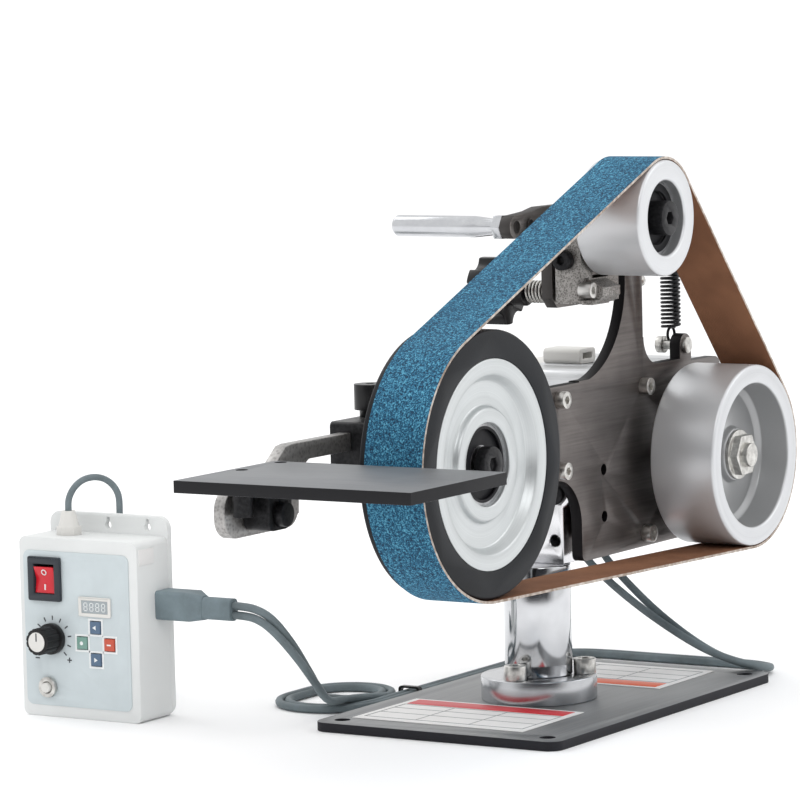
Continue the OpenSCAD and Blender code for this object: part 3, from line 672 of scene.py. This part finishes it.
CABLE_A = [
    [-90, 95, 44.9], [-89.5, 84.8, 43.8], [-86.5, 77.7, 38.3], [-79.7, 71.5, 27.1], [-69.7, 69, 14.8],
    [-60.6, 69, 6.9], [-47.8, 69, 5.4], [-31.4, 69, 3.7], [-16.5, 69.1, 1.8], [-6.3, 73, 1.8],
    [-0.2, 81.3, 1.8], [0.6, 91.6, 1.8], [-4, 100.9, 1.8], [-12.9, 106.3, 1.8], [-26.4, 107, 1.8],
    [-40.6, 106, 1.8], [-51, 99.4, 1.8], [-56.4, 88.3, 1.8], [-55.2, 76, 1.8], [-47.7, 66.1, 1.8],
    [-35.6, 61.6, 1.8], [-18.9, 61.5, 1.8], [-0.2, 61.5, 1.8], [18.7, 61.5, 1.8], [37.5, 61.5, 1.8],
    [56.4, 61.5, 1.8], [75.2, 61.5, 1.8], [92.4, 61.5, 1.8], [104.9, 59.4, 1.8], [113, 52.1, 1.8],
    [116, 40.3, 1.8], [116, 23.5, 1.8], [116, 4.8, 1.8], [116, -13.6, 1.8], [116, -28.8, 1.8],
    [113.1, -38.2, 2], [106.4, -43.7, 3.1], [97.7, -44.8, 4.9], [89.5, -41.1, 7.8], [84.5, -33.1, 11.7],
    [83.9, -20.2, 18.5], [83.5, -5.3, 28.6], [83.2, 8.4, 40.1], [83, 18.4, 50.2], [83, 20.7, 55.4],
    [83, 21, 58.4], [83, 21, 60.3],
]
CABLE_B = [
    [-90, 95, 48.7], [-89.1, 85.3, 47.7], [-85.4, 79, 43], [-78.4, 74.2, 32.1], [-68.1, 73, 18.8],
    [-58.9, 73, 8.5], [-48, 73, 5.4], [-32.8, 73, 2.9], [-18.3, 73, 1.8], [-9.2, 75.8, 1.8],
    [-4.1, 82.3, 1.8], [-3.2, 90.5, 1.8], [-6.8, 98, 1.8], [-14, 102.5, 1.8], [-26, 103, 1.8],
    [-38.7, 102.4, 1.8], [-47.7, 97.1, 1.8], [-52.5, 87.8, 1.8], [-51.7, 77.5, 1.8], [-45.5, 69.1, 1.8],
    [-34.9, 65.2, 1.8], [-18.7, 65.2, 1.8], [0, 65.2, 1.8], [19.2, 65.2, 1.8], [38.3, 65.2, 1.8],
    [57.4, 65.2, 1.8], [76.4, 65.2, 1.8], [94.2, 65.2, 1.8], [108, 62, 1.8], [117.2, 52.5, 1.8],
    [120, 38.2, 1.8], [120, 20.2, 1.8], [120, 1.2, 1.8], [120, -17.4, 1.8], [119.6, -32.8, 1.8],
    [114.6, -42.7, 2.2], [105.2, -48.3, 3.5], [94, -48.1, 5.9], [84.6, -41.8, 9.2], [80.1, -30.6, 14],
    [79.6, -15.3, 21.4], [78.4, 0.7, 31.2], [77.4, 14.9, 41.6], [77, 24.6, 50.3], [77, 26.7, 55.4],
    [77, 27, 58.4], [77, 27, 60.3],
]
MAINS = [
    [-97, 172, 85], [-96.7, 171.8, 89.9], [-94.8, 170.5, 94.2], [-91.7, 168.3, 97.2],
    [-87.8, 165.6, 98.2], [-83.9, 162.9, 97.2], [-80.7, 160.7, 94.2], [-78.9, 159.4, 89.9],
    [-78.6, 159.2, 84], [-78.6, 159.6, 75], [-78.6, 161, 64], [-78.6, 163.4, 53], [-78.5, 166.6, 43],
    [-78.4, 170.8, 33.5], [-78.2, 176.2, 25], [-77.8, 181.6, 18.6], [-76.8, 187, 14.2],
    [-75, 191.6, 11.5], [-72.5, 195.4, 10.2],
]
COIL_CENTRE = (-55, 185)
COIL_START = 135
COIL_LAYERS = 4
PLUG_HEIGHT = 15


def coil_points(diameter, outer, columns=4, steps=16):
    """The coil's turns from its top outer one, each a diameter below, above or inside the last, and the way out."""
    points = []
    places = []
    for column in range(columns):
        layers = range(COIL_LAYERS) if column % 2 else reversed(range(COIL_LAYERS))
        places += [(outer - diameter * (column + 0.5), diameter * (layer + 0.5)) for layer in layers]
    turns = len(places) - 1.5
    for i in range(int(turns * steps) + 1):
        whole, part = divmod(i / steps, 1)
        (r0, z0), (r1, z1) = places[int(whole)], places[int(whole) + 1]
        points.append((COIL_START - 360 * i / steps, r0 + (r1 - r0) * part, z0 + (z1 - z0) * part))
    angle, radius, height = points[-1]
    exits = 10
    for i in range(1, exits + 1):
        part = i / exits
        ease = part * part * (3 - 2 * part)
        points.append((angle - 225 * part, radius + (14 - radius) * ease, height + (PLUG_HEIGHT - height) * ease))
    return [
        [COIL_CENTRE[0] + r * math.cos(math.radians(a)), COIL_CENTRE[1] + r * math.sin(math.radians(a)), z]
        for a, r, z in points
    ]


def smooth_line(points, steps=6):
    """A dense smooth line through points given in millimetres, as vectors in metres."""
    line = [mm(*points[0])]
    for i in range(len(points) - 1):
        p0, p1, p2, p3 = (mm(*points[min(max(i + k, 0), len(points) - 1)]) for k in (-1, 0, 1, 2))
        for step in range(1, steps + 1):
            t = step / steps
            bend = (2 * p0 - 5 * p1 + 4 * p2 - p3) * t * t + (3 * p1 - p0 - 3 * p2 + p3) * t * t * t
            line.append(0.5 * (2 * p1 + (p2 - p0) * t + bend))
    return line


def run_length(line):
    return sum((b - a).length for a, b in zip(line, line[1:]))


def cable(name, line, diameter):
    """A cable as a round curve along a dense line."""
    curve = bpy.data.curves.new(name, "CURVE")
    curve.dimensions = "3D"
    curve.bevel_depth = diameter / 2
    curve.bevel_resolution = 3
    curve.use_fill_caps = True
    spline = curve.splines.new("POLY")
    spline.points.add(len(line) - 1)
    for knot, point in zip(spline.points, line):
        knot.co = (*point, 1)
    piece = bpy.data.objects.new(name, curve)
    bpy.context.collection.objects.link(piece)
    curve.materials.append(FINISHES["cable"])
    return piece


def as_mesh(piece):
    """The same piece as a mesh, smoothly shaded."""
    alone(piece)
    bpy.ops.object.convert(target="MESH")
    bpy.ops.object.shade_smooth_by_angle(angle=math.radians(50))
    return piece


class GRINDER_PG_look(bpy.types.PropertyGroup):
    """Colours and sizes a user may change."""

    grain_dark: bpy.props.FloatVectorProperty(
        name="Grain shadow", description="Darkest blue of the belt's grain", subtype="COLOR",
        default=(0.003, 0.026, 0.060), min=0, max=1,
    )
    grain_middle: bpy.props.FloatVectorProperty(
        name="Grain", description="Middle blue of the belt's grain", subtype="COLOR",
        default=(0.014, 0.125, 0.235), min=0, max=1,
    )
    grain_light: bpy.props.FloatVectorProperty(
        name="Grain light", description="Lightest blue of the belt's grain", subtype="COLOR",
        default=(0.12, 0.40, 0.56), min=0, max=1,
    )
    cable_colour: bpy.props.FloatVectorProperty(
        name="Cables", description="Colour of the cable sheaths", subtype="COLOR",
        default=(0.115, 0.14, 0.15), min=0, max=1,
    )
    box_colour: bpy.props.FloatVectorProperty(
        name="Control box", description="Colour of the control box", subtype="COLOR",
        default=(0.74, 0.755, 0.75), min=0, max=1,
    )
    panel_colour: bpy.props.FloatVectorProperty(
        name="Panel", description="Colour of the control panel's film", subtype="COLOR",
        default=(0.57, 0.632, 0.652), min=0, max=1,
    )
    mains_diameter: bpy.props.FloatProperty(
        name="Mains cable", description="Diameter of the mains cable", default=2.8 * MM, unit="LENGTH",
    )
    motor_diameter: bpy.props.FloatProperty(
        name="Motor cables", description="Diameter of the motor cables", default=3.4 * MM, unit="LENGTH",
    )
    light_strength: bpy.props.FloatProperty(
        name="Light", description="Strength of the studio's lights", default=1.0, min=0, soft_max=3,
    )


# ---------------------------------------------------------------- operators


class GRINDER_OT_stage(bpy.types.Operator):
    """Pale floor, soft light and the camera"""

    bl_idname = "grinder.stage"
    bl_label = "Stage"

    def execute(self, context):
        look = context.scene.grinder_look
        self.floor()
        self.sky(context.scene)
        self.camera(context.scene)
        aim = mm(-50, 20, 90)
        strength = look.light_strength
        self.lamp("key", (-1.5, -1.5, 1.7), aim, 1.1, 12 * strength)
        self.lamp("fill", (1.3, -1.6, 1.1), aim, 1.2, 6 * strength)
        self.lamp("rim", (0.2, 1.5, 1.5), aim, 1.0, 5 * strength)
        context.scene.view_settings.view_transform = "Standard"
        return {"FINISHED"}

    def floor(self):
        alone()
        bpy.ops.mesh.primitive_circle_add(vertices=96, radius=60, fill_type="NGON")
        piece = named("floor")
        finish = Finish("floor_paint", specular_ior_level=0.1)
        clouds = finish.noise(0.8, 2, 0.4)
        paint = finish.ramp(clouds, (0, (0.955, 0.955, 0.96)), (1, (0.975, 0.975, 0.975)))
        piece.data.materials.append(finish.set(Base_Color=paint, Roughness=0.9).material)

    def sky(self, scene):
        """A pale room, brighter overhead, with a dark side in front that polished metal shows."""
        world = bpy.data.worlds.new("room")
        world.use_nodes = True
        tree = world.node_tree
        tree.nodes.clear()
        place = tree.nodes.new("ShaderNodeTexCoord")
        parts = tree.nodes.new("ShaderNodeSeparateXYZ")
        height = tree.nodes.new("ShaderNodeValToRGB")
        toward = tree.nodes.new("ShaderNodeVectorMath")
        front = tree.nodes.new("ShaderNodeValToRGB")
        path = tree.nodes.new("ShaderNodeLightPath")
        mirrored = tree.nodes.new("ShaderNodeMix")
        light = tree.nodes.new("ShaderNodeBackground")
        out = tree.nodes.new("ShaderNodeOutputWorld")
        height.color_ramp.elements[0].color = (0.72, 0.72, 0.73, 1)
        height.color_ramp.elements[1].color = (1.35, 1.35, 1.35, 1)
        toward.operation = "DOT_PRODUCT"
        toward.inputs[1].default_value = (-0.845, -0.535, 0)
        front.color_ramp.elements[0].position = 0.5
        front.color_ramp.elements[0].color = (1.0, 1.0, 1.0, 1)
        front.color_ramp.elements[1].position = 0.86
        front.color_ramp.elements[1].color = (0.03, 0.03, 0.035, 1)
        mirrored.data_type = "RGBA"
        tree.links.new(place.outputs["Generated"], parts.inputs[0])
        tree.links.new(parts.outputs[2], height.inputs["Fac"])
        tree.links.new(place.outputs["Generated"], toward.inputs[0])
        tree.links.new(toward.outputs["Value"], front.inputs["Fac"])
        tree.links.new(path.outputs["Is Glossy Ray"], mirrored.inputs[0])
        tree.links.new(height.outputs["Color"], mirrored.inputs[6])
        tree.links.new(front.outputs["Color"], mirrored.inputs[7])
        tree.links.new(mirrored.outputs[2], light.inputs["Color"])
        tree.links.new(light.outputs["Background"], out.inputs["Surface"])
        scene.world = world

    def camera(self, scene):
        bpy.ops.object.camera_add()
        camera = bpy.context.active_object
        turn, rise, roll = math.radians(-57.67), math.radians(5.70), math.radians(-1.38)
        right = Vector((math.cos(turn), math.sin(turn), 0))
        back = Vector((math.sin(turn) * math.cos(rise), -math.cos(turn) * math.cos(rise), math.sin(rise)))
        up = back.cross(right)
        across = right * math.cos(roll) + up * math.sin(roll)
        above = up * math.cos(roll) - right * math.sin(roll)
        camera.matrix_world = Matrix.Translation(mm(-1531.7, -900.1, 306)) @ Matrix(
            (across, above, back)
        ).transposed().to_4x4()
        camera.data.sensor_width = 36
        camera.data.lens = 195.1
        camera.data.clip_start = 0.05
        camera.data.clip_end = 200
        scene.camera = camera

    def lamp(self, name, place, aim, size, power):
        bpy.ops.object.light_add(type="AREA", location=place)
        lamp = bpy.context.active_object
        lamp.name = name
        lamp.data.size = size
        lamp.data.energy = power
        lamp.rotation_euler = (Vector(place) - aim).to_track_quat("Z", "Y").to_euler()


class GRINDER_OT_cables(bpy.types.Operator):
    """Motor cables, mains cable with its coil, and the plug"""

    bl_idname = "grinder.cables"
    bl_label = "Cables"

    def execute(self, context):
        look = context.scene.grinder_look
        FINISHES.update(make_finishes(look))
        for name, points in (("motor_cable_a", CABLE_A), ("motor_cable_b", CABLE_B)):
            line = smooth_line(points)
            piece = as_mesh(cable(name + "_sheath", line, look.motor_diameter))
            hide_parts(name)
            run_length(line)
            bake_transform(piece)
        self.mains(look)
        return {"FINISHED"}

    def mains(self, look):
        points = MAINS + coil_points(look.mains_diameter / MM, 21)
        points.append([COIL_CENTRE[0] + 2, COIL_CENTRE[1] + 14, PLUG_HEIGHT])
        line = smooth_line(points)
        piece = cable("mains_sheath", line, look.mains_diameter)
        plug = self.plug()
        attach(piece, "stand")
        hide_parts("mains_cable", "mains_coil")
        run_length(line)

    def plug(self):
        """A two-pin plug: a waisted body with a tapered tail, and its pins."""
        centre = middle("mains_plug")
        start = low("mains_plug")
        alone()
        bpy.ops.mesh.primitive_cube_add(size=1, location=start + mm(7.5, 6, 3.8))
        piece = named("plug_body")
        piece.scale = mm(15, 12, 7.6)
        placed(piece)
        bpy.ops.object.mode_set(mode="EDIT")
        pick_faces(piece, lambda spot, normal: normal.x < -0.9)
        bpy.ops.transform.resize(value=(1, 0.6, 0.65))
        bpy.ops.mesh.inset(thickness=1.2 * MM)
        bpy.ops.mesh.extrude_region_move(TRANSFORM_OT_translate={"value": (-3 * MM, 0, 0)})
        bpy.ops.transform.resize(value=(1, 0.75, 0.8))
        bpy.ops.object.mode_set(mode="OBJECT")
        broken_edges(piece, 0.7 * MM, 3)
        handed_over(piece, "stand", "boot")
        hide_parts("mains_plug")
        self.pins = []
        for i, side in enumerate((-3, 3)):
            pin = rod(f"plug_pin_{i}", Vector((start.x + 18.5 * MM, centre.y + side * MM, centre.z)), 0.85, 7, "X")
            self.pins.append(handed_over(pin, "stand", "screw steel"))
        return piece


class GRINDER_OT_solids(bpy.types.Operator):
    """The machine's solid parts, with broken edges and their finishes"""

    bl_idname = "grinder.solids"
    bl_label = "Solid parts"

    def execute(self, context):
        for node, (finish, bevel) in CAD_FINISHES.items():
            piece = cad_copy(node, node + "_part", bevel)
            piece.data.materials.clear()
            piece.data.materials.append(FINISHES[finish])
            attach(piece, BODY_OF[node])
            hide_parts(node)
        return {"FINISHED"}


class GRINDER_OT_belt(bpy.types.Operator):
    """The abrasive belt, blue outside, brown inside and pale along its edges"""

    bl_idname = "grinder.belt"
    bl_label = "Belt"

    def execute(self, context):
        piece = cad_copy("belt", "abrasive_belt", 0)
        piece.data.materials.clear()
        for finish in ("grain", "belt back", "belt edge"):
            piece.data.materials.append(FINISHES[finish])
        heart = (middle("contact_tyre") + middle("drive_wheel") + middle("tracking_roller")) / 3
        for face in piece.data.polygons:
            if abs(face.normal.y) > 0.7:
                face.material_index = 2
            else:
                face.material_index = 0 if face.normal.dot(face.center - heart) > 0 else 1
        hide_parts("belt")
        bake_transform(piece)
        return {"FINISHED"}


class GRINDER_OT_springs(bpy.types.Operator):
    """The tension spring with its hooks, and the small spring on the tracking stud"""

    bl_idname = "grinder.springs"
    bl_label = "Springs"

    def execute(self, context):
        base, top = low("tension_spring"), high("tension_spring")
        centre = (base + top) / 2
        turns = 18
        length = (top.z - base.z) / MM - 1.2
        spring = coil_spring(
            "tension_spring_wire", Vector((centre.x, centre.y, base.z + 0.6 * MM)), 3.8, 0.62, length / turns, turns
        )
        spring.data.materials.append(FINISHES["black steel"])
        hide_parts("tension_spring")
        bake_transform(spring)
        lower = ring("spring_hook_low", Vector((centre.x, centre.y, base.z - 2.2 * MM)), 3.0, 0.62, "Y")
        handed_over(lower, "head", "black steel")
        upper = ring("spring_hook_high", Vector((centre.x, centre.y, top.z + 2.2 * MM)), 3.0, 0.62, "Y")
        handed_over(upper, "tension_arm", "black steel")
        knob = middle("tracking_knob")
        stud = coil_spring("stud_spring", Vector((knob.x, -5.4 * MM, knob.z)), 4.2, 0.55, 1.6, 7, "Y")
        handed_over(stud, "tension_arm", "screw steel")
        return {"FINISHED"}


class GRINDER_OT_labels(bpy.types.Operator):
    """Blank labels on the base and on the control box, and the strip on the motor"""

    bl_idname = "grinder.labels"
    bl_label = "Labels"

    def execute(self, context):
        self.base_label("left", mm(-53.5, 6.5, 0), "red band", 1)
        self.base_label("right", mm(58.5, 6.5, 0), "orange band", -1)
        corner = low("box_shell")
        plate = bar("box_label", (corner.x + 6.5 * MM, corner.y - 0.1 * MM, 68.5 * MM), (10.5, 0.3, 6.5), 0.08)
        handed_over(plate, "stand", "label paper")
        motor = low("motor_body")
        strip = bar("motor_strip", (motor.x - 0.1 * MM, motor.y + 9 * MM, 98 * MM), (0.3, 11, 50), 0.08)
        handed_over(strip, "head", "green strip")
        return {"FINISHED"}

    def base_label(self, name, centre, band, side):
        """A white label with a thin frame, a coloured band on the column's side and a few blank fields."""
        top = high("base_plate").z
        width, length, thick = 49, 80, 0.3
        paper = bar(f"label_{name}", centre + Vector((0, 0, top + thick / 2 * MM)), (width, length, thick), 0.08)
        handed_over(paper, "stand", "label paper")
        ink = top + (thick + 0.05) * MM
        band_x = centre.x + side * (width / 2 - 7) * MM
        strip = bar(f"label_{name}_band", (band_x, centre.y, ink), (10, length - 6, 0.12), 0.04)
        handed_over(strip, "stand", band)
        lines = [(-19.5, 0, 0.5, 74), (-8, 0, 0.4, 74), (2.5, 0, 0.4, 74), (11, 0, 0.5, 74)]
        cross = [(-4.2, -37, 31, 0.5), (-4.2, -12, 31, 0.4), (-4.2, 13, 31, 0.4), (-4.2, 37, 31, 0.5)]
        for i, (x, y, across, along) in enumerate(lines + cross):
            place = (centre.x + side * x * MM, centre.y + y * MM, ink)
            line = bar(f"label_{name}_line_{i}", place, (across, along, 0.1), 0)
            handed_over(line, "stand", "grey ink")


class GRINDER_OT_panel_print(bpy.types.Operator):
    """Ticks, frames and marks on the control panel"""

    bl_idname = "grinder.panel_print"
    bl_label = "Panel print"

    def execute(self, context):
        front = low("control_panel").x
        self.dial(front)
        self.key_frames(front)
        self.rocker_marks()
        self.display()
        self.key_marks()
        self.knob_cap()
        return {"FINISHED"}

    def dial(self, front):
        """Eleven ticks around the knob, and the minus and plus at their ends."""
        centre = middle("speed_knob")
        for i in range(11):
            angle = math.radians(-135 + 27 * i)
            tick = bar(f"dial_tick_{i}", (front - 0.06 * MM, 0, 8.6 * MM), (0.16, 0.5, 1.8), 0.03)
            tick.rotation_euler = (angle, 0, 0)
            tick.location = (0, centre.y, centre.z)
            handed_over(tick, "stand", "dark ink")
        for side, name in ((8.2, "minus"), (-8.2, "plus")):
            place = Vector((front - 0.06 * MM, centre.y + side * MM, centre.z - 8.6 * MM))
            across = bar(f"{name}_across", place, (0.16, 2.2, 0.5), 0.03)
            handed_over(across, "stand", "dark ink")
            if name == "plus":
                upright = bar("plus_upright", place - Vector((0.02 * MM, 0, 0)), (0.16, 0.5, 2.2), 0.03)
                handed_over(upright, "stand", "dark ink")

    def key_frames(self, front):
        for node in ("key_up", "key_down", "key_left", "key_right"):
            centre = middle(node)
            place = Vector((front - 0.1 * MM, centre.y, centre.z))
            rim = sheet_frame(f"{node}_frame", place, (7.4, 7.4), 0.85, 0.2)
            handed_over(rim, "stand", "white ink")

    def rocker_marks(self):
        """The line and the circle of an on-off switch."""
        centre, front = middle("rocker"), low("rocker").x
        line = bar("rocker_line", (front + 1.25 * MM, centre.y, centre.z - 3.0 * MM), (0.4, 0.6, 2.4), 0.05)
        handed_over(line, "power_rocker", "white ink")
        circle = ring("rocker_circle", (front + 0.55 * MM, centre.y, centre.z + 3.2 * MM), 1.1, 0.22, "X", 0.32)
        handed_over(circle, "power_rocker", "white ink")

    def display(self):
        """The grey window of the speed display, with the seven bars of each of its four digits."""
        centre, front = middle("display_frame"), low("display_frame").x
        window = bar("display_window", (front + 0.35 * MM, centre.y, centre.z), (0.2, 13.2, 5.2), 0.05)
        handed_over(window, "stand", "lcd")
        bars = [(0, 1.6, 1.3, 0.3), (0, 0, 1.3, 0.3), (0, -1.6, 1.3, 0.3)]
        bars += [(side * 0.8, rise * 0.8, 0.3, 1.2) for side in (-1, 1) for rise in (-1, 1)]
        for digit in range(4):
            y = centre.y + (digit - 1.5) * 3 * MM
            strokes = [
                bar("stroke", (front + 0.2 * MM, y + a * MM, centre.z + b * MM), (0.12, w, h), 0) for a, b, w, h in bars
            ]
            piece = joined(f"display_digit_{digit}", strokes)
            handed_over(piece, "stand", "white ink")

    def key_marks(self):
        """Arrows on the upper and lower keys, a bar and a dot on the other two."""
        for node, body, turn in (("key_up", "up_key", 0), ("key_down", "down_key", math.pi)):
            centre, front = middle(node), low(node).x
            alone()
            bpy.ops.mesh.primitive_cylinder_add(
                vertices=3, radius=1.1 * MM, depth=0.16 * MM, location=(front - 0.03 * MM, centre.y, centre.z),
                rotation=(turn, -math.pi / 2, 0),
            )
            arrow = placed(named(f"{node}_arrow"))
            handed_over(broken_edges(arrow, 0.03 * MM), body, "white ink")
        centre, front = middle("key_left"), low("key_left").x
        dot = rod("key_left_dot", (front - 0.03 * MM, centre.y, centre.z), 0.8, 0.16, "X", 24, 0.03)
        handed_over(dot, "left_key", "white ink")
        centre, front = middle("key_right"), low("key_right").x
        dash = bar("key_right_bar", (front - 0.03 * MM, centre.y, centre.z), (0.16, 2, 0.6), 0.03)
        handed_over(dash, "right_key", "white ink")

    def knob_cap(self):
        """White cap on the end of the knob, with a groove as its pointer."""
        centre, front = middle("speed_knob"), low("speed_knob").x
        cap = rod("knob_cap", (front + 0.1 * MM, centre.y, centre.z), 4.1, 0.6, "X", 40, 0.2)
        handed_over(cap, "speed_dial", "white plastic")
        groove = bar("knob_pointer", (front - 0.22 * MM, centre.y, centre.z + 2 * MM), (0.16, 0.6, 3.4), 0.04)
        handed_over(groove, "speed_dial", "dark ink")


class GRINDER_PT_sidebar(bpy.types.Panel):
    """Shows the grinder's look settings and the buttons of its building steps"""

    bl_idname = "GRINDER_PT_sidebar"
    bl_label = "Belt grinder"
    bl_space_type = "VIEW_3D"
    bl_region_type = "UI"
    bl_category = "Grinder"

    def draw(self, context):
        look = context.scene.grinder_look
        for key in look.__annotations__:
            self.layout.prop(look, key)
        for operator in STEPS:
            self.layout.operator(operator.bl_idname)


STEPS = (
    GRINDER_OT_stage,
    GRINDER_OT_cables,
    GRINDER_OT_solids,
    GRINDER_OT_belt,
    GRINDER_OT_springs,
    GRINDER_OT_labels,
    GRINDER_OT_panel_print,
)
CLASSES = (GRINDER_PG_look, *STEPS, GRINDER_PT_sidebar)


def register():
    for cls in CLASSES:
        bpy.utils.register_class(cls)
    bpy.types.Scene.grinder_look = bpy.props.PointerProperty(type=GRINDER_PG_look)


def unregister():
    del bpy.types.Scene.grinder_look
    for cls in reversed(CLASSES):
        bpy.utils.unregister_class(cls)


def main():
    register()
    bpy.ops.grinder.stage()
    bpy.ops.grinder.cables()
    bpy.ops.grinder.solids()
    bpy.ops.grinder.belt()
    bpy.ops.grinder.springs()
    bpy.ops.grinder.labels()
    bpy.ops.grinder.panel_print()


if __name__ == "__main__":
    main()
